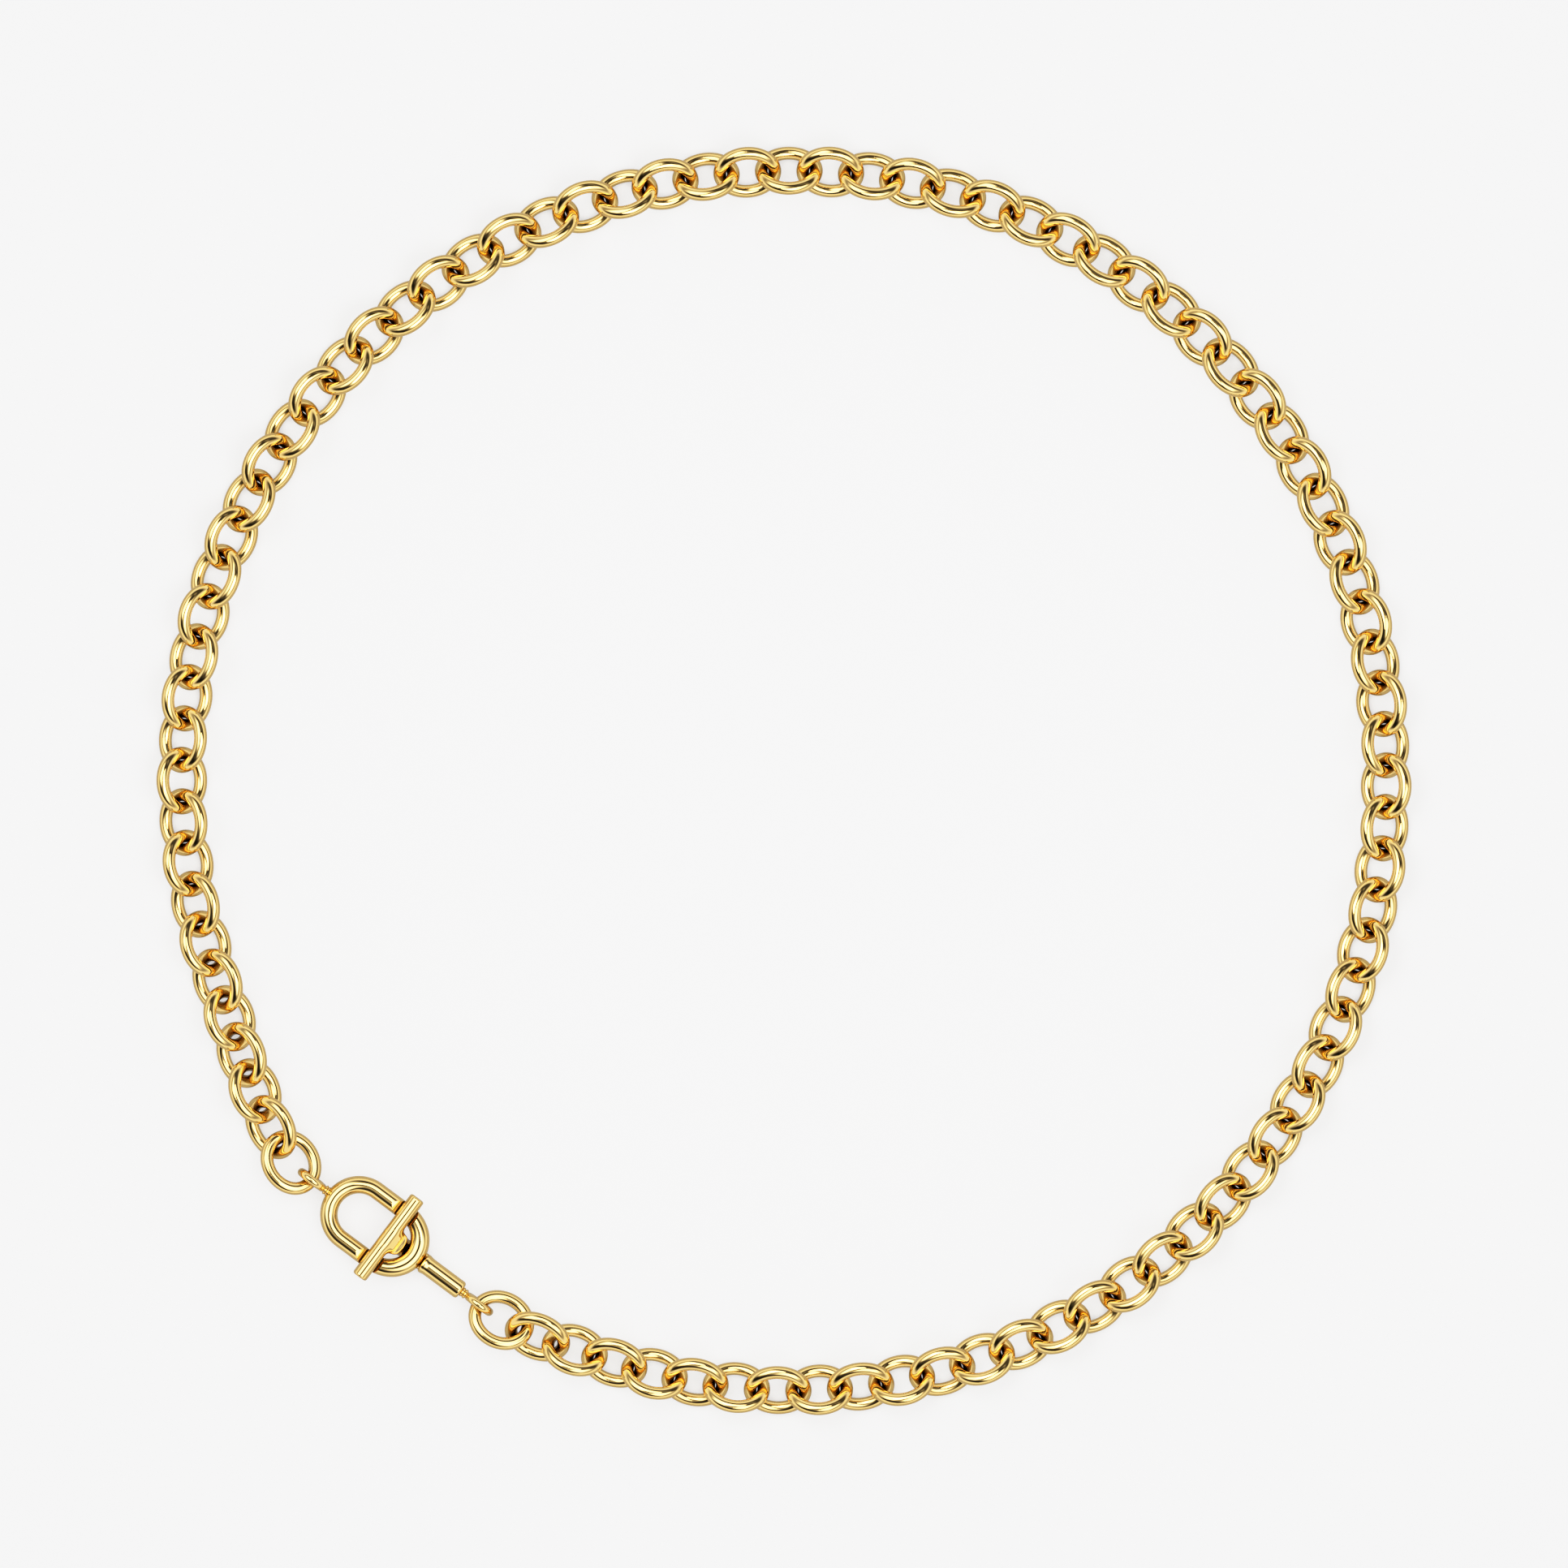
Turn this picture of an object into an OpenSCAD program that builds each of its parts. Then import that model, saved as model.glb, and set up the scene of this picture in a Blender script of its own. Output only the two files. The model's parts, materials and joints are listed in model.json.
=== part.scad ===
// Oval cable chain necklace with a toggle clasp, laid out flat in a near circle.
// +Z is up from the table, +Y runs across the longer width of the loop.
// Each link is one closed ring of round wire. It leans to one side of the chain,
// and its neighbours lean to the other side, so every link threads the next one.

/* [Links] */
// Diameter of the link wire
wire_d = 1.45; // [1.3:0.05:1.45]
// Outside length of one link
link_len = 8.05; // [8.05:0.05:8.2]
// Outside width of one link
link_wid = 7.0; // [6.9:0.05:7.1]
// Lean of a link out of the flat, to either side
lean = 38; // [36:1:42]
// Lean of the two links that hang on the clasp
lean_end = 18; // [16:1:20]
// Lean of the links next to those two
lean_next = 41; // [40:1:43]
// Lift of the two links that hang on the clasp
lift_end = 0.2; // [0.15:0.05:0.25]

/* [Loop] */
// Mean radius of the loop
loop_r = 72.5; // [72.4:0.05:72.6]
// How much taller than wide the loop is, as a change of radius
loop_oval = 0.46; // [0.3:0.02:0.6]
// Outward swing of the chain where it comes to the toggle ring
swing_ring = 2.87; // [2.83:0.02:2.91]
// Outward swing of the chain where it comes to the post
swing_post = 0.63; // [0.59:0.02:0.67]
// How far the links bunch up beside the toggle ring
slack_ring = 1.75; // [1.5:0.05:2.0]
// How far the links bunch up beside the post
slack_post = 0.45; // [0.3:0.05:0.6]

/* [Toggle ring] */
// Diameter of the toggle ring's bar stock
ring_d = 2.1; // [1.9:0.05:2.2]
// Half the distance between the centrelines of the ring's two legs
ring_half = 3.6; // [3.5:0.05:3.7]
// Straight length of each leg
leg_len = 4.45; // [4.3:0.05:4.5]
// Height of the notch floor over the ring's centreline
notch_z = 0.25; // [0.2:0.05:0.4]
// Half width of the notch at its floor
notch_low = 1.1; // [1.05:0.05:1.2]
// Half width of the notch at the top of the leg
notch_high = 2.15; // [1.8:0.05:2.3]

/* [Toggle bar] */
// Diameter of the toggle bar
bar_d = 1.9; // [1.8:0.05:1.95]
// Length of the toggle bar
bar_len = 11.75; // [11:0.25:12.5]
// Width of the tongue that joins the bar to the post
tongue_w = 2.4; // [2.0:0.1:2.6]
// Thickness of the tongue under the ring
tongue_t = 1.05; // [0.9:0.05:1.1]

/* [Post and eyes] */
// Diameter of the post
post_d = 2.35; // [2.2:0.05:2.4]
// Start of the post from the bar's axis
post_from = 4.85; // [4.8:0.05:4.9]
// End of the post from the bar's axis
post_to = 10.85; // [10.8:0.05:10.9]
// Radius of an eye's centreline
eye_r = 1.5; // [1.5:0.01:1.52]
// Diameter of an eye's wire
eye_d = 0.95; // [0.85:0.05:0.95]
// Distance of the ring's eye from the bar's axis
eye_ring_u = 11.45; // [11.43:0.01:11.47]
// Distance of the post's eye from the bar's axis
eye_post_u = 13.45; // [13.43:0.01:13.47]

/* [Hidden] */
$fn = 48;
link_count = 87;
pair_count = 44;
phi_first = 217.82;
phi_last = -117.59;
clasp_at = [-47.24, -54.68];
clasp_turn = -36.7;
// the loop's centre, moved so that the whole outline is centred on the origin
centre = [-0.048, 0.063];

half_len = (link_len - wire_d) / 2;
half_wid = (link_wid - wire_d) / 2;
// distance of each end bend's centre from the link's centre
end_x = half_len - half_wid;

link_z = wire_d / 2 + half_wid * sin(lean);
clasp_z = link_z;
gold = [0.86, 0.66, 0.28];

function two(n) = str(n < 10 ? "0" : "", n);
function pair_name(j) = j == pair_count - 1 ? "link_87"
    : str("links_", two(2 * j + 1), "_", two(2 * j + 2));

// ---------------------------------------------------------------- path of the chain

function ease(t) = let (c = min(1, max(0, t))) c * c * (3 - 2 * c);
function path_r(p) = loop_r + 0.30 * cos(p) + loop_oval * cos(2 * (p + 84))
    + 0.26 * cos(3 * (p - 55)) + swing_ring * ease((p - 199) / 22)
    + swing_post * ease((-106 - p) / 13);
function path_at(p) = path_r(p) * [cos(p), sin(p)];

steps = 672;
angles = [for (i = [0 : steps + 1]) phi_first + (phi_last - phi_first) * i / steps];
// distance run from the first link, against the angle round the loop
run = [for (i = 0, s = 0; i <= steps;
        s = s + norm(path_at(angles[i + 1]) - path_at(angles[i])), i = i + 1)
    [s, angles[i]]];
total = run[steps][0];

function station(k) = let (f = k / (link_count - 1))
    total * f - slack_ring * ease(k / 7) * (1 - f)
    + slack_post * ease((link_count - 1 - k) / 2) * f;
function link_phi(k) = lookup(station(k), run);
function heading(p) = let (t = path_at(p - 0.2) - path_at(p + 0.2)) atan2(t[1], t[0]);
function from_end(k) = min(k, link_count - 1 - k);
function link_lean(k) = from_end(k) == 0 ? lean_end
    : from_end(k) == 1 ? -lean_next
    : k % 2 == 0 ? lean : -lean;
function link_lift(k) = from_end(k) == 0 ? link_z + lift_end
    : from_end(k) == 1 ? wire_d / 2 + half_wid * sin(lean_next)
    : link_z;

// ---------------------------------------------------------------- shared shapes

// a curved length of round wire, centred on the Z axis
module bend(r, from, to, d) {
    rotate([0, 0, from])
        rotate_extrude(angle = to - from)
            translate([r, 0])
                circle(d = d);
}

// a closed ring of round wire
module wire_ring(r, d) {
    rotate_extrude()
        translate([r, 0])
            circle(d = d);
}

// a round bar along X with chamfered ends
module bar(d, from, to, chamfer) {
    translate([from, 0, 0])
        rotate([0, 90, 0])
            rotate_extrude()
                polygon([
                    [0, 0],
                    [d / 2 - chamfer, 0],
                    [d / 2, chamfer],
                    [d / 2, to - from - chamfer],
                    [d / 2 - chamfer, to - from],
                    [0, to - from]]);
}

// one oval link: two half-round ends and the short sides that join them
module oval_link() {
    translate([end_x, 0, 0])
        bend(half_wid, -90, 90, wire_d);
    translate([-end_x, 0, 0])
        bend(half_wid, 90, 270, wire_d);
    for (s = [-1, 1])
        translate([-end_x, s * half_wid, 0])
            rotate([0, 90, 0])
                cylinder(d = wire_d, h = 2 * end_x);
}

module link_at(k) {
    p = link_phi(k);
    c = path_at(p) + centre;
    translate([c[0], c[1], link_lift(k)])
        rotate([0, 0, heading(p)])
            rotate([link_lean(k), 0, 0])
                oval_link();
}

// puts a clasp part in place: X runs from the toggle ring to the post
module on_clasp() {
    translate([clasp_at[0] + centre[0], clasp_at[1] + centre[1], clasp_z])
        rotate([0, 0, clasp_turn])
            children();
}

// a short neck with two raised beads, from x = from to x = to
module beaded_neck(from, to) {
    len = to - from;
    translate([from, 0, 0])
        rotate([0, 90, 0]) {
            cylinder(d = 0.9, h = len);
            translate([0, 0, len * 0.12])
                cylinder(d = 1.45, h = len * 0.26);
            translate([0, 0, len * 0.52])
                cylinder(d = 1.25, h = len * 0.26);
        }
}

// ---------------------------------------------------------------- clasp

// closed U and D ring with a notch across both legs for the toggle bar
module toggle_ring() {
    color(gold)
        on_clasp()
            difference() {
                union() {
                    translate([-leg_len, 0, 0])
                        bend(ring_half, 90, 270, ring_d);
                    bend(ring_half, -90, 90, ring_d);
                    for (s = [-1, 1])
                        translate([-leg_len, s * ring_half, 0])
                            rotate([0, 90, 0])
                                cylinder(d = ring_d, h = leg_len);
                }
                rotate([90, 0, 0])
                    translate([0, 0, -7])
                        linear_extrude(14)
                            polygon([
                                [-notch_low, notch_z],
                                [notch_low, notch_z],
                                [notch_high, ring_d / 2 + 0.05],
                                [notch_high, 3],
                                [-notch_high, 3],
                                [-notch_high, ring_d / 2 + 0.05]]);
            }
}

ring_tip = leg_len + ring_half + ring_d / 2;

module ring_collar() {
    color(gold)
        on_clasp()
            difference() {
                mirror([1, 0, 0])
                    beaded_neck(ring_tip - 0.25, eye_ring_u - eye_r - 0.2);
                translate([-leg_len, 0, 0])
                    wire_ring(ring_half, ring_d);
                translate([-eye_ring_u, 0, 0])
                    rotate([90, 0, 0])
                        wire_ring(eye_r, eye_d);
            }
}

module ring_eye() {
    color(gold)
        on_clasp()
            translate([-eye_ring_u, 0, 0])
                rotate([90, 0, 0])
                    wire_ring(eye_r, eye_d);
}

bar_z = notch_z + 0.05 + bar_d / 2;

module toggle_bar() {
    color(gold)
        on_clasp()
            translate([0, 0, bar_z])
                rotate([0, 0, 90])
                    bar(bar_d, -bar_len / 2, bar_len / 2, 0.25);
}

tongue_top = -ring_d / 2 - 0.15;

// rises inside the ring from under the D end and carries the bar
module bar_tongue() {
    color(gold)
        on_clasp()
            difference() {
                rotate([90, 0, 0])
                    translate([0, 0, -tongue_w / 2])
                        linear_extrude(tongue_w)
                            polygon([
                                [-0.5, tongue_top - tongue_t],
                                [post_from, tongue_top - tongue_t],
                                [post_from, tongue_top],
                                [2.7, tongue_top],
                                [2.05, -0.5],
                                [1.6, 0.8],
                                [1.0, bar_z + 0.3],
                                [0, bar_z + 0.3],
                                [-0.5, bar_z - 0.4]]);
                translate([0, 0, bar_z])
                    rotate([90, 0, 0])
                        cylinder(d = bar_d, h = 6, center = true);
            }
}

// a short round bar with bevelled ends
module post() {
    color(gold)
        on_clasp()
            bar(post_d, post_from, post_to, 0.3);
}

module post_collar() {
    color(gold)
        on_clasp()
            difference() {
                beaded_neck(post_to, eye_post_u - eye_r - 0.2);
                translate([eye_post_u, 0, 0])
                    rotate([90, 0, 0])
                        wire_ring(eye_r, eye_d);
            }
}

module post_eye() {
    color(gold)
        on_clasp()
            translate([eye_post_u, 0, 0])
                rotate([90, 0, 0])
                    wire_ring(eye_r, eye_d);
}

// ---------------------------------------------------------------- chain

// two neighbouring links, or the single last one
module links(j) {
    color(gold)
        for (k = [2 * j : min(2 * j + 1, link_count - 1)])
            link_at(k);
}

// ---------------------------------------------------------------- nodes

toggle_ring();
ring_collar();
ring_eye();
toggle_bar();
bar_tongue();
post();
post_collar();
post_eye();
for (j = [0 : pair_count - 1])
    links(j);
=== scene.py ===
# %% [markdown]
# # A polished cable chain with a toggle clasp
# The chain is a string of closed oval links of round wire. Each link leans to one
# side, its neighbours lean to the other, and so every link threads the next. One end
# carries a notched toggle ring, the other a bar that lies across it.
#
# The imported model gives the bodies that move. Every piece made here rides on one of
# them and stands for that body's plain CAD solids.

# %% Load the frame
import json
import math

import bmesh
import bpy
import numpy as np
from mathutils import Matrix, Vector

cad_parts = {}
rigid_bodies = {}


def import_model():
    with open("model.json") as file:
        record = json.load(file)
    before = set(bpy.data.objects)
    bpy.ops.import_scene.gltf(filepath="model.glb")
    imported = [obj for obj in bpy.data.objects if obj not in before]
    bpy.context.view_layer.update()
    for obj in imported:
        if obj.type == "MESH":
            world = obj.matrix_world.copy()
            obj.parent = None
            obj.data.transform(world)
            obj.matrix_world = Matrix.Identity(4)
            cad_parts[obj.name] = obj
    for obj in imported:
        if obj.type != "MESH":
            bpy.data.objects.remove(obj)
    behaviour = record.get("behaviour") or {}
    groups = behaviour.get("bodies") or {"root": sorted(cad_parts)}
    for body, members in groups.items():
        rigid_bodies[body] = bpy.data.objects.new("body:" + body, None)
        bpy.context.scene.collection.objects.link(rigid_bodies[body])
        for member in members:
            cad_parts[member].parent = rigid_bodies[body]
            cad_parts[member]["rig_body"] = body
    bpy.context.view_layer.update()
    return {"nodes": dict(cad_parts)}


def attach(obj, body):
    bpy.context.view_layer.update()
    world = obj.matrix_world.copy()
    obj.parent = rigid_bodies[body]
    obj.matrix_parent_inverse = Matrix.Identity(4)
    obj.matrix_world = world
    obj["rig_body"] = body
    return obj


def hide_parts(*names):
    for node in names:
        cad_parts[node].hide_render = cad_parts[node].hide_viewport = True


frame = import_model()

# %% [markdown]
# ## Sizes
# All lengths in this table are in millimetres, the unit a jeweller works in. They are
# turned to metres once, when a mesh is made.

# %% The sizes of the chain and the clasp
MM = 0.001
LINKS = 87
WIRE = 1.54
LINK_LENGTH = 8.14
LINK_WIDTH = 7.09
LEAN, LEAN_END, LEAN_NEXT = 38.0, 18.0, 41.0  # degrees, the last two near the clasp
RING_WIRE, RING_HALF, LEG = 2.1, 3.6, 4.45
BAR_WIRE, BAR_LENGTH, BAR_HEIGHT = 1.9, 11.75, 1.25
POST_WIRE, POST_FROM, POST_TO = 2.35, 5.16, 10.85
EYE_RADIUS, EYE_WIRE, RING_EYE, POST_EYE = 1.54, 0.95, -11.45, 13.45
CLASP_TURN = -36.7
half_length = (LINK_LENGTH - WIRE) / 2
half_width = (LINK_WIDTH - WIRE) / 2
RESTING = 0.725  # the height of a flat link's centre above the table
chain_height = RESTING + half_width * math.sin(math.radians(LEAN))
print("centreline oval", 2 * half_length, "by", 2 * half_width, "mm")

# %% [markdown]
# ## Where the links lie
# The chain follows a near circle that swings out a little where it meets the clasp.
# The links are spread along it by the distance run, not by angle, so their spacing
# stays even where the loop is not round.

# %% The path of the chain
CENTRE = np.array([-0.048, 0.063])
CLASP_AT = np.array([-47.24, -54.68]) + CENTRE
FIRST, LAST = 217.82, -117.59


def ease(t):
    t = np.clip(t, 0.0, 1.0)
    return t * t * (3 - 2 * t)


def path_at(p):
    q = np.radians(p)
    r = (
        72.5
        + 0.30 * np.cos(q)
        + 0.46 * np.cos(2 * (q + np.radians(84)))
        + 0.26 * np.cos(3 * (q - np.radians(55)))
        + 2.87 * ease((p - 199) / 22)
        + 0.63 * ease((-106 - p) / 13)
    )
    return np.stack([r * np.cos(q), r * np.sin(q)], axis=-1) + CENTRE


angles = np.linspace(FIRST, LAST, 673)
steps = np.linalg.norm(np.diff(path_at(angles), axis=0), axis=1)
run = np.concatenate([[0.0], np.cumsum(steps)])
number = np.arange(LINKS)
share = number / (LINKS - 1)
station = (
    run[-1] * share
    - 1.75 * ease(number / 7) * (1 - share)
    + 0.45 * ease((LINKS - 1 - number) / 2) * share
)
link_angle = np.interp(station, run, angles)
link_centre = path_at(link_angle)
ahead = path_at(link_angle - 0.2) - path_at(link_angle + 0.2)
link_heading = np.arctan2(ahead[:, 1], ahead[:, 0])
print("chain path", round(run[-1], 1), "mm, spacing", round(run[-1] / (LINKS - 1), 3))


# %% The lean and the height of each link
def lean_and_height(k):
    from_end = min(k, LINKS - 1 - k)
    if from_end == 0:
        return LEAN_END, chain_height + 0.2
    if from_end == 1:
        return -LEAN_NEXT, RESTING + half_width * math.sin(math.radians(LEAN_NEXT))
    return (LEAN if k % 2 == 0 else -LEAN), chain_height


leans = [lean_and_height(k) for k in range(LINKS)]
print("first leans", leans[:4])

# %% [markdown]
# ## A small language for shaders
# A polished metal needs only a little maths: a mask for fine wear, a tint that drifts.
# Wrapping a socket in a class lets those masks be written as sums and products.


# %% The shader helper
class Sock:
    """A socket that can be added, subtracted and multiplied like a number."""

    tree = None

    def __init__(self, socket):
        self.s = socket

    @classmethod
    def node(cls, kind, settings=None, out=0, **inputs):
        n = cls.tree.nodes.new(kind)
        for key, value in (settings or {}).items():
            setattr(n, key, value)
        for key, value in inputs.items():
            name = key.replace("_", " ")
            slot = n.inputs[int(key[1:])] if key[1:].isdigit() else n.inputs[name]
            cls.join(value, slot)
        return cls(n.outputs[out])

    @classmethod
    def join(cls, value, slot):
        if isinstance(value, Sock):
            cls.tree.links.new(value.s, slot)
        else:
            slot.default_value = value

    def _math(self, op, other, flip=False):
        a, b = (other, self) if flip else (self, other)
        return Sock.node("ShaderNodeMath", {"operation": op}, i0=a, i1=b)

    def __add__(self, o):
        return self._math("ADD", o)

    __radd__ = __add__

    def __sub__(self, o):
        return self._math("SUBTRACT", o)

    def __rsub__(self, o):
        return self._math("SUBTRACT", o, True)

    def __mul__(self, o):
        return self._math("MULTIPLY", o)

    __rmul__ = __mul__

    def power(self, o):
        return self._math("POWER", o)

    def size(self):
        return Sock.node("ShaderNodeMath", {"operation": "ABSOLUTE"}, i0=self)

    def band(self, low, high):
        """0 below low, 1 above high, smooth in between."""
        return Sock.node(
            "ShaderNodeMapRange",
            {"interpolation_type": "SMOOTHSTEP"},
            i0=self,
            i1=low,
            i2=high,
            i3=0.0,
            i4=1.0,
        )


def mix(mask, a, b):
    """A colour between a and b."""
    n = Sock.tree.nodes.new("ShaderNodeMix")
    n.data_type = "RGBA"
    Sock.join(mask, n.inputs[0])
    Sock.join(a, n.inputs[6])
    Sock.join(b, n.inputs[7])
    return Sock(n.outputs[2])


def new_material(name):
    m = bpy.data.materials.new(name)
    m.use_nodes = True
    m.node_tree.nodes.clear()
    Sock.tree = m.node_tree
    return m


print("shader helper ready")

# %% [markdown]
# ## Polished gold
# Gold plate over brass is a bare metal, so its colour is the colour of its mirror
# reflection. Hand polish leaves it nearly clear, with a breath of haze, hair-fine
# scratches, and small ripples that break a straight reflection. Each is kept far
# below the size of the wire. Where two pieces nearly touch, an occlusion mask darkens
# the base colour there: painted shade for the crevices between links. The seam is the
# soldered joint of a link, found by how far along its oval a point lies.


# %% The gold finish
GOLD = (0.94, 0.66, 0.26)
CREVICE_REACH, RIPPLE_DEPTH = 0.0016, 0.00006
SEAM_AT = 0.25


def polished_gold(name, tint, haze, ripple, crevice_shade_depth, seam=False):
    material = new_material(name)
    place = Sock.node("ShaderNodeTexCoord", out=3)
    cloud = Sock.node(
        "ShaderNodeTexNoise", Vector=place, Scale=140.0, Detail=3.0, Roughness=0.55
    )
    fine = Sock.node(
        "ShaderNodeTexNoise", Vector=place, Scale=2600.0, Detail=4.0, Roughness=0.7
    )
    scratch = Sock.node(
        "ShaderNodeTexNoise",
        Vector=Sock.node(
            "ShaderNodeVectorMath",
            {"operation": "MULTIPLY"},
            i0=place,
            i1=(900.0, 5200.0, 2400.0),
        ),
        Scale=1.0,
        Detail=2.0,
    )
    wear = scratch.band(0.60, 0.72)
    deeper = (*(t * k for t, k in zip(tint, (0.93, 0.88, 0.80))), 1.0)
    colour = mix(cloud.band(0.35, 0.75) * 0.45, (*tint, 1.0), deeper)
    open_air = Sock.node(
        "ShaderNodeAmbientOcclusion", {"samples": 6}, out=1, Distance=CREVICE_REACH
    )
    # Painted shade: the base colour turns darker where the occlusion mask finds a
    # neighbour close by.
    crevice_shade_colour = (*(t * (1 - crevice_shade_depth * d) for t, d in zip(tint, (0.80, 0.86, 0.90))), 1.0)
    colour = mix(1.0 - open_air.band(0.16, 0.70), colour, crevice_shade_colour)
    rough = haze + fine * 0.02 + wear * 0.05
    height = cloud * 0.5 + fine * 0.06 - wear * 0.05
    if seam:
        along = Sock.node("ShaderNodeAttribute", {"attribute_name": "along"}, out=2)
        join = 1.0 - (along - SEAM_AT).size().band(0.0015, 0.0045)
        rough = rough + join * 0.12
        height = height - join * 0.25
    bump = Sock.node(
        "ShaderNodeBump", Strength=ripple, Distance=RIPPLE_DEPTH, Height=height
    )
    shader = Sock.node(
        "ShaderNodeBsdfPrincipled",
        Base_Color=colour,
        Roughness=rough,
        Normal=bump,
        Metallic=1.0,
    )
    out = material.node_tree.nodes.new("ShaderNodeOutputMaterial")
    material.node_tree.links.new(shader.s, out.inputs["Surface"])
    return material


# The last number is the depth of the painted crevice shade.
chain_gold = polished_gold("chain_gold", GOLD, 0.05, 0.10, 1.0, seam=True)
clasp_gold = polished_gold("clasp_gold", GOLD, 0.035, 0.05, 0.55)
print("finishes", chain_gold.name, clasp_gold.name)

# %% [markdown]
# ## One link, repeated by a node tree
# A link is a round wire bent to an oval and soldered shut. The tree sweeps a small
# circle round an oval, then sets a copy on every point it is given, turned by the
# point's own `turn`. It also marks how far along the oval each point lies, which the
# gold needs for its seam. All links share the tree, so one change of wire reaches all.


# %% The link tree
def link_tree():
    tree = bpy.data.node_groups.new("Oval links", "GeometryNodeTree")
    face = tree.interface
    face.new_socket("Geometry", in_out="INPUT", socket_type="NodeSocketGeometry")
    wanted = [
        ("Wire", "NodeSocketFloat"),
        ("Half length", "NodeSocketFloat"),
        ("Half width", "NodeSocketFloat"),
        ("Steps round the oval", "NodeSocketInt"),
        ("Steps round the wire", "NodeSocketInt"),
        ("Finish", "NodeSocketMaterial"),
    ]
    for name, kind in wanted:
        face.new_socket(name, in_out="INPUT", socket_type=kind)
    face.new_socket("Geometry", in_out="OUTPUT", socket_type="NodeSocketGeometry")

    def add(kind, **links):
        n = tree.nodes.new(kind)
        for key, value in links.items():
            slot = n.inputs[key.replace("_", " ")]
            if isinstance(value, bpy.types.NodeSocket):
                tree.links.new(value, slot)
            else:
                slot.default_value = value
        return n

    given = add("NodeGroupInput").outputs
    oval = add("GeometryNodeCurvePrimitiveCircle")
    tree.links.new(given["Steps round the oval"], oval.inputs["Resolution"])
    oval.inputs["Radius"].default_value = 1.0
    scale = add("ShaderNodeCombineXYZ", X=given["Half length"], Y=given["Half width"])
    scale.inputs["Z"].default_value = 1.0
    bent = add("GeometryNodeTransform", Geometry=oval.outputs[0], Scale=scale.outputs[0])
    mark = add("GeometryNodeStoreNamedAttribute", Geometry=bent.outputs[0], Name="along")
    factor = add("GeometryNodeSplineParameter").outputs["Factor"]
    tree.links.new(factor, mark.inputs["Value"])
    half = add("ShaderNodeMath")
    half.operation = "MULTIPLY"
    half.inputs[1].default_value = 0.5
    tree.links.new(given["Wire"], half.inputs[0])
    wire = add("GeometryNodeCurvePrimitiveCircle")
    tree.links.new(given["Steps round the wire"], wire.inputs["Resolution"])
    tree.links.new(half.outputs[0], wire.inputs["Radius"])
    swept = add("GeometryNodeCurveToMesh")
    tree.links.new(mark.outputs[0], swept.inputs["Curve"])
    tree.links.new(wire.outputs[0], swept.inputs["Profile Curve"])
    smooth = add("GeometryNodeSetShadeSmooth", Geometry=swept.outputs[0])
    turn = add("GeometryNodeInputNamedAttribute", Name="turn")
    turn.data_type = "FLOAT_VECTOR"
    euler = add("FunctionNodeEulerToRotation")
    tree.links.new(turn.outputs["Attribute"], euler.inputs[0])
    set_out = add("GeometryNodeInstanceOnPoints")
    tree.links.new(given["Geometry"], set_out.inputs["Points"])
    tree.links.new(smooth.outputs[0], set_out.inputs["Instance"])
    tree.links.new(euler.outputs[0], set_out.inputs["Rotation"])
    real = add("GeometryNodeRealizeInstances", Geometry=set_out.outputs[0])
    painted = add("GeometryNodeSetMaterial", Geometry=real.outputs[0])
    tree.links.new(given["Finish"], painted.inputs["Material"])
    result = add("NodeGroupOutput")
    tree.links.new(painted.outputs[0], result.inputs["Geometry"])
    return tree


oval_links = link_tree()
socket_of = {
    item.name: item.identifier
    for item in oval_links.interface.items_tree
    if item.in_out == "INPUT"
}
print("link tree with inputs", [n for n in socket_of if n != "Geometry"])


# %% Points for one body's links
def link_points(name, ks):
    mesh = bpy.data.meshes.new(name)
    places = [(*(link_centre[k] * MM), leans[k][1] * MM) for k in ks]
    mesh.from_pydata(places, [], [])
    turn = mesh.attributes.new("turn", "FLOAT_VECTOR", "POINT")
    for i, k in enumerate(ks):
        turn.data[i].vector = (math.radians(leans[k][0]), 0.0, link_heading[k])
    carrier = bpy.data.objects.new(name, mesh)
    bpy.context.scene.collection.objects.link(carrier)
    step = carrier.modifiers.new("Oval links", "NODES")
    step.node_group = oval_links
    values = {
        "Wire": WIRE * MM,
        "Half length": half_length * MM,
        "Half width": half_width * MM,
        "Steps round the oval": 72,
        "Steps round the wire": 28,
        "Finish": chain_gold,
    }
    for key, value in values.items():
        step[socket_of[key]] = value
    return carrier


pairs = [[k for k in (2 * j, 2 * j + 1) if k < LINKS] for j in range((LINKS + 1) // 2)]
carriers = [link_points(f"chain_links_{ks[0] + 1:02d}", ks) for ks in pairs]
print("carriers", len(carriers))

# %% Turn each body's links into a plain mesh
bpy.context.view_layer.update()
depsgraph = bpy.context.evaluated_depsgraph_get()
plain = [bpy.data.meshes.new_from_object(c.evaluated_get(depsgraph)) for c in carriers]
for carrier, mesh, ks in zip(carriers, plain, pairs):
    carrier.modifiers.clear()
    carrier.data = mesh
    node = "link_87" if len(ks) == 1 else f"links_{ks[0] + 1:02d}_{ks[1] + 1:02d}"
    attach(carrier, frame["nodes"][node]["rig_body"])
    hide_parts(node)
print("faces in one pair", len(plain[0].polygons))

# %% [markdown]
# ## Making the clasp
# The clasp pieces are drawn in their own frame: x runs from the toggle ring to the
# post, y along the bar, z up, all in millimetres. One matrix sets them in place.


# %% Set a clasp piece in place
clasp_place = (
    Matrix.Translation((CLASP_AT[0] * MM, CLASP_AT[1] * MM, chain_height * MM))
    @ Matrix.Rotation(math.radians(CLASP_TURN), 4, "Z")
    @ Matrix.Scale(MM, 4)
)


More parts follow.
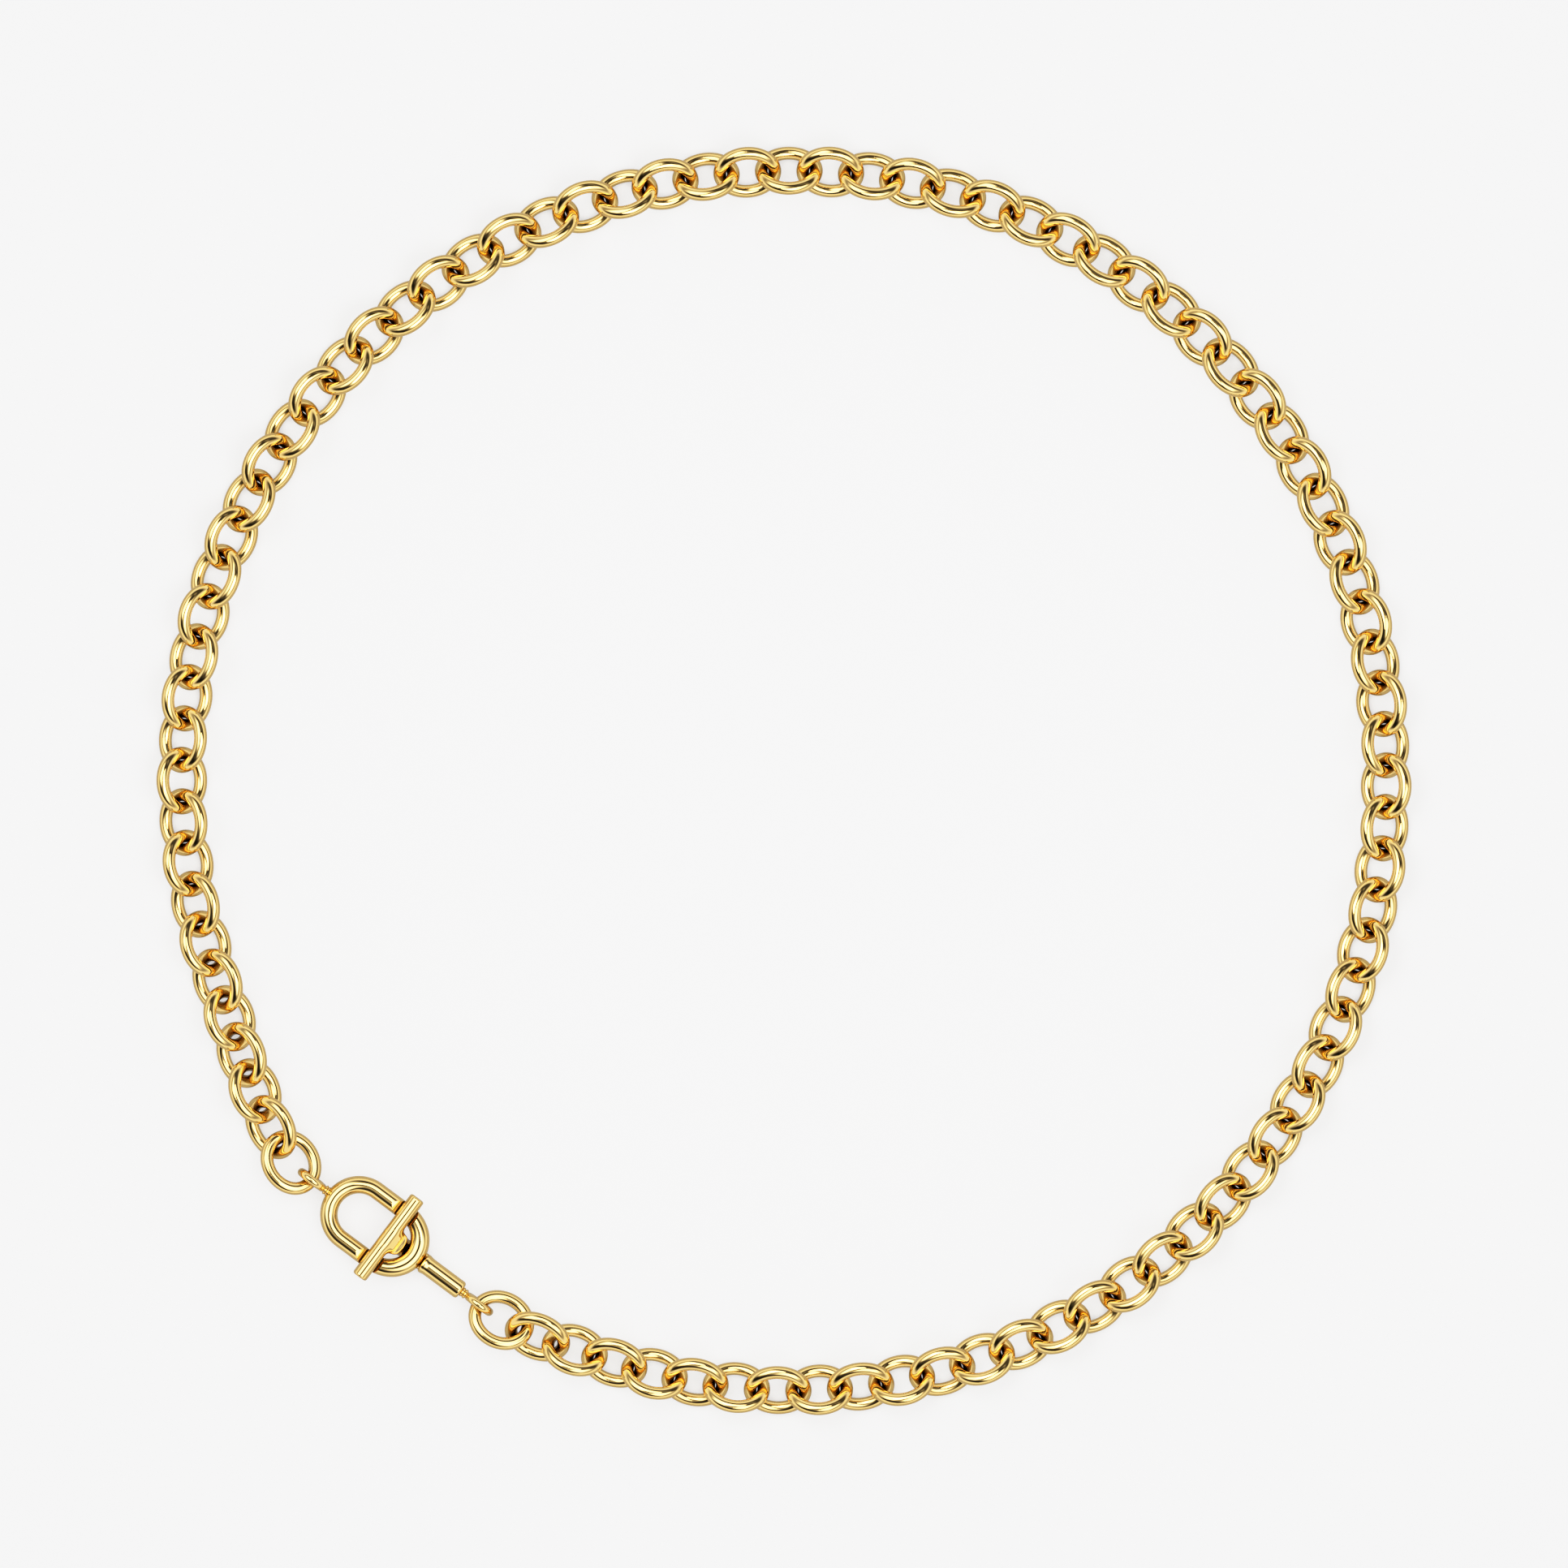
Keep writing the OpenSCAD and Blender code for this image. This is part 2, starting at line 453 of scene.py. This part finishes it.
def piece(name, verts, faces, sharp=None):
    mesh = bpy.data.meshes.new(name)
    mesh.from_pydata([tuple(v) for v in verts], [], [tuple(f) for f in faces])
    bm = bmesh.new()
    bm.from_mesh(mesh)
    bmesh.ops.remove_doubles(bm, verts=bm.verts, dist=1e-5)
    bmesh.ops.recalc_face_normals(bm, faces=bm.faces)
    bm.to_mesh(mesh)
    bm.free()
    mesh.shade_smooth()
    if sharp is not None:
        mesh.set_sharp_from_angle(angle=math.radians(sharp))
    thing = bpy.data.objects.new(name, mesh)
    bpy.context.scene.collection.objects.link(thing)
    return thing


def settle(thing, body, *nodes):
    """Apply modifiers, move the mesh into the row frame and hang it on its body."""
    bpy.context.view_layer.update()
    graph = bpy.context.evaluated_depsgraph_get()
    mesh = bpy.data.meshes.new_from_object(thing.evaluated_get(graph))
    thing.modifiers.clear()
    thing.data = mesh
    mesh.transform(clasp_place)
    mesh.materials.clear()
    mesh.materials.append(clasp_gold)
    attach(thing, body)
    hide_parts(*nodes)
    print(thing.name, len(mesh.polygons), "faces")
    return thing


def grid_faces(rows, columns, close_rows=False, close_columns=True):
    """Quads over a grid of points numbered row by row."""
    out = []
    for i in range(rows if close_rows else rows - 1):
        for j in range(columns if close_columns else columns - 1):
            here, there = i * columns, (i + 1) % rows * columns
            k = (j + 1) % columns
            out.append((here + j, here + k, there + k, there + j))
    return out


print("clasp frame at", [round(v, 4) for v in clasp_place.translation])

# %% [markdown]
# ## The toggle ring
# A round bar bent to a U, closed by a D end, with a saddle cut across both legs so the
# toggle bar cannot roll. The tube is swept in plain Python because its path is only
# two straights and two half circles. Round the D end the tube steps out and thickens a
# little. A cutter with the saddle's profile is taken away from it, and a narrow bevel
# then catches the light on the cut edges.


# %% The ring's tube
D_SHIFT, D_SWELL = 0.22, 0.13  # how far the D end reaches out, and how much it thickens


def ring_path(n_turn=72, n_leg=16):
    out = []
    for t in np.linspace(-90, 90, n_turn, endpoint=False):
        c, s = math.cos(math.radians(t)), math.sin(math.radians(t))
        r, swell = RING_HALF + D_SHIFT * c * c, 1 + D_SWELL * c * c
        out.append((r * c, r * s, c * swell, s * swell))
    for u in np.linspace(0, -LEG, n_leg, endpoint=False):
        out.append((u, RING_HALF, 0.0, 1.0))
    for t in np.linspace(90, 270, n_turn, endpoint=False):
        c, s = math.cos(math.radians(t)), math.sin(math.radians(t))
        out.append((-LEG + RING_HALF * c, RING_HALF * s, c, s))
    for u in np.linspace(-LEG, 0, n_leg, endpoint=False):
        out.append((u, -RING_HALF, 0.0, -1.0))
    return out


def tube(path, wire, around=64, deep=None):
    """A closed tube along a flat path; deep is its size across the path's plane."""
    verts = []
    for x, y, nx, ny in path:
        for j in range(around):
            a = 2 * math.pi * j / around
            r = wire / 2 * math.cos(a)
            verts.append((x + nx * r, y + ny * r, (deep or wire) / 2 * math.sin(a)))
    return verts, grid_faces(len(path), around, close_rows=True)


toggle_ring = piece("toggle_ring_polished", *tube(ring_path(), RING_WIRE))

# %% The saddle cutter
low, near, high = 1.06, 1.42, 2.15  # half the floor, then the two tops of its sides
floor, knee, top, clear_of_all = 0.25, 0.66, RING_WIRE / 2 + 0.05, 2.5
outline = [
    (-low, floor),
    (low, floor),
    (near, top),
    (near, clear_of_all),
    (-high, clear_of_all),
    (-high, top),
    (-low - 0.16, knee),
]
sides = len(outline)
saddle = piece(
    "saddle_cutter",
    [(x, y, z) for y in (-7.0, 7.0) for x, z in outline],
    [tuple(range(sides)), tuple(range(2 * sides - 1, sides - 1, -1))]
    + [(i, sides + i, sides + (i + 1) % sides, (i + 1) % sides) for i in range(sides)],
    sharp=20,
)
cut = toggle_ring.modifiers.new("saddle", "BOOLEAN")
cut.object = saddle
cut.operation = "DIFFERENCE"
cut.solver = "EXACT"
edge = toggle_ring.modifiers.new("edge", "BEVEL")
edge.width = 0.07
edge.segments = 3
edge.limit_method = "ANGLE"
edge.angle_limit = math.radians(28)
edge.harden_normals = True
settle(toggle_ring, "clasp_ring", "toggle_ring")
bpy.data.objects.remove(saddle)

# %% [markdown]
# ## Cast shapes from distances
# The toggle bar, its shoulder and its tongue are one casting, with soft fillets where
# they meet. Such a blend is easy to say with distances: a point's distances to the three
# are merged with a smooth minimum. The surface where the result is zero is found on a
# grid, and each corner is then slid onto the exact surface, so the reflections stay
# clean.


# %% Mesh the zero surface of a distance function
def surface_of(distance, lower, upper, cell):
    shape = [int(math.ceil((b - a) / cell)) + 1 for a, b in zip(lower, upper)]
    axes = [a + cell * np.arange(n) for a, n in zip(lower, shape)]
    grid = np.stack(np.meshgrid(*axes, indexing="ij"), -1)
    value = distance(grid.reshape(-1, 3)).reshape(shape)
    inside = value < 0
    corners = [
        inside[i : shape[0] - 1 + i, j : shape[1] - 1 + j, k : shape[2] - 1 + k]
        for i in (0, 1)
        for j in (0, 1)
        for k in (0, 1)
    ]
    count = sum(c.astype(int) for c in corners)
    busy = (count > 0) & (count < 8)
    index = -np.ones(busy.shape, int)
    index[busy] = np.arange(busy.sum())
    verts = (np.argwhere(busy) + 0.5) * cell + np.array(lower)
    faces = []
    for axis in range(3):
        step = [0, 0, 0]
        step[axis] = 1
        n0 = [s - d for s, d in zip(shape, step)]
        a = inside[: n0[0], : n0[1], : n0[2]]
        b = inside[step[0] :, step[1] :, step[2] :]
        p, q = [d for d in range(3) if d != axis]
        where = np.argwhere(a != b)
        where = where[(where[:, p] > 0) & (where[:, q] > 0)]
        where = where[(where[:, p] < shape[p] - 1) & (where[:, q] < shape[q] - 1)]
        quad = []
        for dp, dq in ((0, 0), (1, 0), (1, 1), (0, 1)):
            at = where.copy()
            at[:, p] -= dp
            at[:, q] -= dq
            quad.append(index[at[:, 0], at[:, 1], at[:, 2]])
        faces.append(np.stack(quad, 1))
    nudge = 0.001
    for _ in range(6):
        here = distance(verts)
        slope = np.stack(
            [
                (distance(verts + e) - distance(verts - e)) / (2 * nudge)
                for e in np.eye(3) * nudge
            ],
            1,
        )
        slope /= np.maximum((slope**2).sum(1, keepdims=True), 1e-9)
        verts = verts - np.clip(here, -cell, cell)[:, None] * slope
    return verts, np.concatenate(faces)


def blend(a, b, k):
    """A smooth minimum that fillets over about k."""
    h = np.clip(0.5 + 0.5 * (b - a) / k, 0, 1)
    return b * (1 - h) + a * h - k * h * (1 - h)


print("distance mesher ready")


# %% The bar and its tongue
def bar_distance(p):
    soft = 0.28
    radial = np.hypot(p[:, 0], p[:, 2] - BAR_HEIGHT) - (BAR_WIRE / 2 - soft)
    ends = np.abs(p[:, 1]) - (BAR_LENGTH / 2 - soft)
    outside = np.hypot(np.maximum(radial, 0), np.maximum(ends, 0))
    return outside + np.minimum(np.maximum(radial, ends), 0) - soft


def tongue_distance(p):
    """A flat bar whose run gives x, z, half thickness and half width, point by point."""
    run = np.array(
        [
            (0.30, 1.05, 0.55, 1.20),
            (1.00, 0.82, 0.55, 1.20),
            (1.50, 0.42, 0.48, 1.22),
            (1.72, -0.30, 0.43, 1.18),
            (1.95, -0.92, 0.42, 1.15),
            (2.50, -1.48, 0.44, 1.15),
            (3.40, -1.76, 0.46, 1.12),
            (5.00, -1.74, 0.50, 1.10),
            (6.40, -1.00, 0.60, 0.95),
        ]
    )
    best = None
    for a, b in zip(run[:-1], run[1:]):
        d = b[:2] - a[:2]
        t = np.clip(((p[:, 0] - a[0]) * d[0] + (p[:, 2] - a[1]) * d[1]) / (d @ d), 0, 1)
        mid = a[None] * (1 - t[:, None]) + b[None] * t[:, None]
        off = np.hypot(p[:, 0] - mid[:, 0], p[:, 2] - mid[:, 1])
        thick, wide = mid[:, 2], mid[:, 3]
        side = np.maximum(np.abs(p[:, 1]) - (wide - thick), 0)
        stretch = np.hypot(off, side) - thick
        best = stretch if best is None else blend(best, stretch, 0.12)
    return best


def shoulder_distance(p):
    """The broad rounded shoulder that the bar swells into, inside the ring's D end."""
    soft, reach, half_wide, middle, half_thick, fall = 0.30, 2.20, 1.42, 0.60, 0.46, 0.12
    front = np.hypot(p[:, 0], p[:, 1]) - (reach - soft)
    flanks = np.abs(p[:, 1]) - (half_wide - soft)
    slab = np.abs(p[:, 2] + fall * p[:, 0] - middle) - (half_thick - soft)
    back = 0.2 - p[:, 0]
    parts = np.stack([front, flanks, slab, back], 1)
    outside = np.sqrt((np.maximum(parts, 0) ** 2).sum(1))
    return outside + np.minimum(parts.max(1), 0) - soft


def bar_and_tongue(p):
    under = blend(shoulder_distance(p), tongue_distance(p), 0.30)
    return blend(bar_distance(p), under, 0.90)


CELL = 0.085
bar_mesh = surface_of(bar_and_tongue, (-1.4, -6.2, -2.7), (7.4, 6.2, 2.6), CELL)
toggle_bar = piece("toggle_bar_polished", *bar_mesh)
settle(toggle_bar, "clasp_bar", "toggle_bar", "bar_tongue")

# %% [markdown]
# ## Post, collars and eyes
# The post is turned: a round bar with a slight raised band towards the ring and a
# rounded far end. Between it and the eye sits a neck with two fine beads. Each
# eye is a small closed ring of wire that stands upright so a link can lie flat in it.


# %% A turned piece
def turned(profile, around=72):
    """Turn (x, radius) points round the x axis."""
    verts = []
    for x, r in profile:
        for j in range(around):
            a = 2 * math.pi * j / around
            verts.append((x, r * math.cos(a), r * math.sin(a)))
    faces = grid_faces(len(profile), around)
    n = len(verts)
    verts += [(profile[0][0], 0, 0), (profile[-1][0], 0, 0)]
    last = (len(profile) - 1) * around
    for j in range(around):
        k = (j + 1) % around
        faces.append((n, k, j))
        faces.append((n + 1, last + j, last + k))
    return verts, faces


def rounded_end(x0, r0, x1, r1, n=8):
    """A quarter round that closes a profile, from (x0, r0) down to (x1, r1)."""
    t = np.linspace(0, math.pi / 2, n)
    return [(x0 + (x1 - x0) * math.sin(a), r1 + (r0 - r1) * math.cos(a)) for a in t]


shaft, rounding = POST_WIRE / 2 - 0.045, 0.38
raised_band = [  # distance from the post's start, and height above the shaft
    (-0.10, -0.22),
    (-0.06, -0.10),
    (0.04, 0.06),
    (0.12, 0.09),
    (0.34, 0.09),
    (0.42, 0.07),
    (0.70, 0.01),
    (0.80, 0.0),
]
post_profile = (
    [(POST_FROM + x, shaft + rise) for x, rise in raised_band]
    + [(x, shaft) for x in np.linspace(POST_FROM + 1.1, POST_TO - 0.7, 12)]
    + rounded_end(POST_TO - rounding, shaft, POST_TO, shaft - rounding)
)
post = piece("post_polished", *turned(post_profile), sharp=32)
settle(post, "clasp_bar", "post")


# %% A beaded collar and an upright eye
NECK, BEAD, EYE_DEEP = 0.46, 0.15, 1.04


def beads(start, end):
    """A neck with two fine beads, from x = start to x = end."""
    out = []
    for t in np.linspace(0, 1, 61):
        swell = abs(math.sin(t * 2 * math.pi)) ** 0.8
        out.append((start + t * (end - start), NECK + BEAD * swell))
    return turned(out, 48)


def upright_eye(at):
    """A closed wire eye in the x and z plane, its centre at x = at."""
    path = [
        (EYE_RADIUS * math.cos(a), EYE_RADIUS * math.sin(a), math.cos(a), math.sin(a))
        for a in np.linspace(0, 2 * math.pi, 96, endpoint=False)
    ]
    verts, faces = tube(path, EYE_WIRE, 36, deep=EYE_WIRE * EYE_DEEP)
    return [(at + x, z, y) for x, y, z in verts], faces


ring_tip, reach = LEG + RING_HALF + RING_WIRE / 2, 1.85
for name, body, node, start, end in (
    ("ring_collar_beads", "clasp_ring", "ring_collar", RING_EYE + reach, 0.15 - ring_tip),
    ("post_collar_beads", "clasp_bar", "post_collar", POST_TO - 0.05, POST_EYE - reach),
):
    settle(piece(name, *beads(start, end)), body, node)
for name, body, node, at in (
    ("ring_eye_wire", "clasp_ring", "ring_eye", RING_EYE),
    ("post_eye_wire", "clasp_bar", "post_eye", POST_EYE),
):
    settle(piece(name, *upright_eye(at)), body, node)

# %% [markdown]
# ## The table, the light and the camera
# Mirror-bright metal shows what stands round it, so the studio matters more than the
# metal. The chain lies on a pale table under a white tent. Along the clasp's length two
# bright panels face each other. Across it, a dark strip stands on either side, and a
# dark ring runs round the tent lower down, above walls that are bright again. A small
# dark opening is straight overhead, where a camera looks in, with one round lamp that
# the camera doesn't see. The table gives off a little light of its own, more to the
# camera than to the metal, and less close under the chain, which leaves a soft contact
# shadow.

# %% The table
WHITE = (1.0, 1.0, 1.0, 1.0)
GLOW, GLOW_SEEN, SHADOW_REACH = 0.22, 0.49, 0.0022
table = bpy.data.materials.new("pale_table")
table.use_nodes = True
nodes = table.node_tree.nodes
nodes.clear()
Sock.tree = table.node_tree
matt = Sock.node("ShaderNodeBsdfDiffuse", Color=(0.30, 0.30, 0.30, 1.0))
seen = Sock.node("ShaderNodeLightPath", out=0)
clear = Sock.node(
    "ShaderNodeAmbientOcclusion", {"samples": 8}, out=1, Distance=SHADOW_REACH
)
strength = GLOW + seen * clear.band(0.05, 0.62) * GLOW_SEEN
glow = Sock.node("ShaderNodeEmission", Color=WHITE, Strength=strength)
both = Sock.node("ShaderNodeAddShader", i0=matt, i1=glow)
table.node_tree.links.new(
    both.s, nodes.new("ShaderNodeOutputMaterial").inputs["Surface"]
)
bpy.ops.mesh.primitive_plane_add(size=6.0, location=(0, 0, -0.00006))
floor_plane = bpy.context.object
floor_plane.name = "table_top"
floor_plane.data.materials.append(table)
print("table laid")

# %% The tent of light
world = bpy.data.worlds.new("tent")
bpy.context.scene.world = world
world.use_nodes = True
world.node_tree.nodes.clear()
Sock.tree = world.node_tree
look = Sock.node("ShaderNodeTexCoord", out=0)


def towards(azimuth):
    """How far a direction points towards a side of the tent, from -1 to 1."""
    a = math.radians(azimuth)
    return Sock.node(
        "ShaderNodeVectorMath",
        {"operation": "DOT_PRODUCT"},
        out=1,
        i0=look,
        i1=(math.cos(a), math.sin(a), 0.0),
    )


across = towards(CLASP_TURN)
aside = towards(CLASP_TURN + 90)
wide, tall = across.size(), aside.size()
spread = (across * across + aside * aside).power(0.5)
hole = 1.0 - spread.band(0.09, 0.15)
panel = wide.band(0.14, 0.24) * (1.0 - wide.band(0.60, 0.80))
panel = panel * (1.0 - tall.band(0.24, 0.60))
ring = spread.band(0.62, 0.72) * (1.0 - spread.band(0.82, 0.92))
ring = ring * (0.35 + tall.band(0.2, 0.6) * 0.65)
narrow = 1.0 - wide.band(0.26, 0.55)
strip_a = aside.band(0.22, 0.34) * (1.0 - aside.band(0.54, 0.70)) * narrow
other_side = 0.0 - aside
strip_b = other_side.band(0.34, 0.55) * (1.0 - other_side.band(0.76, 0.88)) * narrow

# %% The tent's light and the lamp overhead
TENT, PANELS, LOW_WALLS = 0.52, 2.3, 0.62
light = TENT + panel * PANELS + spread.band(0.84, 0.94) * LOW_WALLS
for dark, depth in ((ring, 0.85), (strip_a, 0.90), (strip_b, 0.85), (hole, 0.97)):
    light = light * (1.0 - dark * depth)
back = Sock.node("ShaderNodeBackground", Color=WHITE, Strength=light)
world.node_tree.links.new(
    back.s, world.node_tree.nodes.new("ShaderNodeOutputWorld").inputs["Surface"]
)
LAMP_SIZE, LAMP_HEIGHT, LAMP_STRENGTH = 0.13, 0.19, 2.4
lamp_data = bpy.data.lights.new("overhead_panel", "AREA")
lamp_data.shape = "DISK"
lamp_data.size = LAMP_SIZE
lamp_data.energy = LAMP_STRENGTH * math.pi * math.pi * (lamp_data.size / 2) ** 2
lamp = bpy.data.objects.new("overhead_panel", lamp_data)
lamp.location = (0.0, 0.0, LAMP_HEIGHT)
lamp.visible_camera = False
bpy.context.scene.collection.objects.link(lamp)
print("tent built")

# %% The camera
VIEW_WIDTH = 0.1876
camera_data = bpy.data.cameras.new("camera")
camera_data.sensor_width = 36.0
camera_data.lens = 290.0
camera_data.clip_end = 20.0
camera = bpy.data.objects.new("camera", camera_data)
bpy.context.scene.collection.objects.link(camera)
distance = VIEW_WIDTH * camera_data.lens / camera_data.sensor_width
camera.location = (0.0, -0.00042, distance + chain_height * MM)
bpy.context.scene.camera = camera
print("camera", round(distance, 3), "m up")

# %% [markdown]
# ## The tone curve
# Light that bounces between polished links is many times brighter than the table. Left
# alone it would burn out to flat white. The curve keeps the darks and middles almost as
# they are and bends only the brightest part, as film does.

# %% Bend the highlights
BRIGHTEST = 4.0
view = bpy.context.scene.view_settings
view.view_transform = "Standard"
view.use_curve_mapping = True
curve = view.curve_mapping
curve.black_level = (0.0, 0.0, 0.0)
curve.white_level = (BRIGHTEST, BRIGHTEST, BRIGHTEST)
tone = curve.curves[3]
light_to_screen = [
    (0.0, 0.0),
    (0.05, 0.035),
    (0.1, 0.08),
    (0.2, 0.18),
    (0.6, 0.60),
    (0.8, 0.775),
    (0.95, 0.88),
    (1.1, 0.93),
    (1.5, 0.96),
    (2.4, 0.985),
    (BRIGHTEST, 1.0),
]
while len(tone.points) < len(light_to_screen):
    tone.points.new(0.5, 0.5)
for point, (x, y) in zip(tone.points, light_to_screen):
    point.location = (x / BRIGHTEST, y)
curve.update()
print("tone curve with", len(tone.points), "points")
